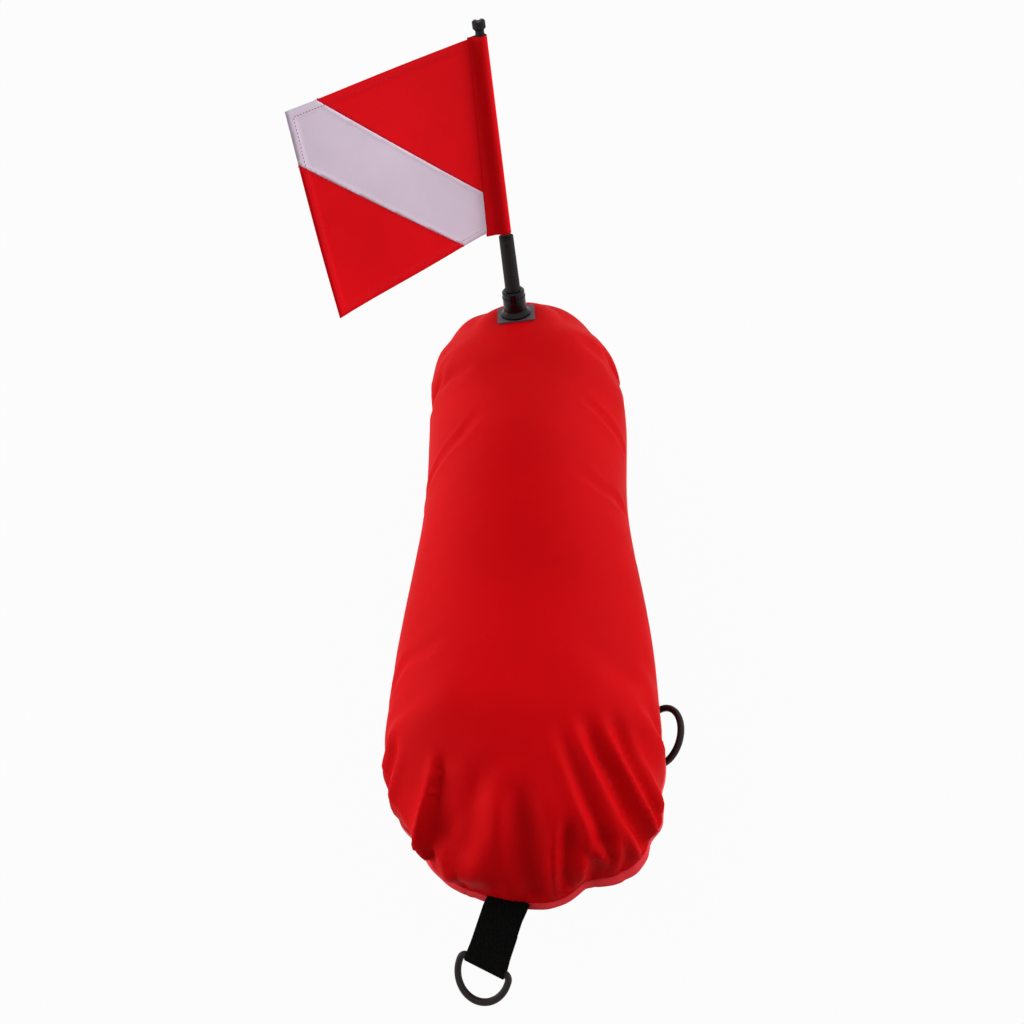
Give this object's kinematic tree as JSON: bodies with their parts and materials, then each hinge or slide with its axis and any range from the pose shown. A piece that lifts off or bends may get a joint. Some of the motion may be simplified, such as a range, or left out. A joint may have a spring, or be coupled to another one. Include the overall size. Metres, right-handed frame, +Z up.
{
  "type": "dive flag float",
  "caption": "Inflated torpedo-shaped dive float with a plug-in mast and diver-down flag, webbing tow strap with a D-ring, side rings and an oral valve.",
  "frame": {"origin": "middle of the flattened strip under the float that it rests on", "axes": "+Z up, +Y along the float towards the mast end"},
  "size_m": [0.3251, 0.8409, 0.5429],
  "materials": {
    "body_cloth": "coated nylon, satin",
    "flag_red": "coated nylon, satin",
    "flag_white": "coated nylon, satin",
    "webbing_black": "woven webbing, matt",
    "mast_black": "matt",
    "socket_black": "gloss",
    "ring_black": "satin",
    "plate_grey": "satin",
    "seal_rubber": "matt"
  },
  "bodies": {
    "float_body": {"upper_panel": "body_cloth", "lower_panel": "body_cloth", "mast_plate": "plate_grey", "mast_socket": "socket_black", "socket_collar": "socket_black", "nose_strap_root": "webbing_black", "valve_patch": "body_cloth", "valve_body": "socket_black", "valve_seal": "seal_rubber", "right_near_patch": "body_cloth", "right_near_tab": "webbing_black", "right_mid_patch": "body_cloth", "right_mid_tab": "webbing_black", "left_near_patch": "body_cloth", "left_near_tab": "webbing_black", "left_mid_patch": "body_cloth", "left_mid_tab": "webbing_black"},
    "mast": {"lower_mast_tube": "mast_black", "mast_foot": "mast_black", "mast_bush": "mast_black", "mast_pin": "mast_black", "upper_mast_tube": "mast_black", "mast_tip": "socket_black"},
    "flag": {"flag_sleeve": "flag_red", "flag_upper_field": "flag_red", "flag_stripe": "flag_white", "flag_lower_field": "flag_red"},
    "nose_strap": {"nose_strap": "webbing_black"},
    "nose_ring": {"nose_ring": "ring_black"},
    "right_near_ring": {"right_near_ring": "ring_black"},
    "right_mid_ring": {"right_mid_ring": "ring_black"},
    "left_near_ring": {"left_near_ring": "ring_black"},
    "left_mid_ring": {"left_mid_ring": "ring_black"},
    "valve_mouthpiece": {"valve_mouthpiece": "socket_black"}
  },
  "joints": [
    {"name": "mast_lift", "type": "slide", "parent": "float_body", "child": "mast", "axis": [0, 0.1478, 0.989], "range_m": [0, 0.024]},
    {"name": "flag_turn", "type": "hinge", "parent": "mast", "child": "flag", "pos_m": [0, 0.28368, 0.21756], "axis": [0, 0.1478, 0.989], "continuous": true},
    {"name": "nose_strap_bend", "type": "hinge", "parent": "float_body", "child": "nose_strap", "pos_m": [-0.01388, -0.39044, 0.11395], "axis": [0.9063, -0.4226, 0], "range_deg": [-60, 30], "stiffness_Nm_per_rad": 0.12},
    {"name": "nose_ring_swing", "type": "hinge", "parent": "nose_strap", "child": "nose_ring", "pos_m": [-0.02953, -0.42401, 0.09413], "axis": [0.9063, -0.4226, 0], "range_deg": [-110, 110]},
    {"name": "right_near_ring_swing", "type": "hinge", "parent": "float_body", "child": "right_near_ring", "pos_m": [0.1249, -0.2205, 0.07357], "axis": [0, 1, 0], "range_deg": [-11, 149]},
    {"name": "right_mid_ring_swing", "type": "hinge", "parent": "float_body", "child": "right_mid_ring", "pos_m": [0.10839, 0.045, 0.05742], "axis": [0, 1, 0], "range_deg": [-138, 22]},
    {"name": "left_near_ring_swing", "type": "hinge", "parent": "float_body", "child": "left_near_ring", "pos_m": [-0.1249, -0.2205, 0.07357], "axis": [0, -1, 0], "range_deg": [-138, 22]},
    {"name": "left_mid_ring_swing", "type": "hinge", "parent": "float_body", "child": "left_mid_ring", "pos_m": [-0.10839, 0.045, 0.05742], "axis": [0, -1, 0], "range_deg": [-138, 22]},
    {"name": "valve_pull", "type": "slide", "parent": "float_body", "child": "valve_mouthpiece", "axis": [0, 0.6328, -0.7743], "range_m": [0, 0.004]}
  ]
}
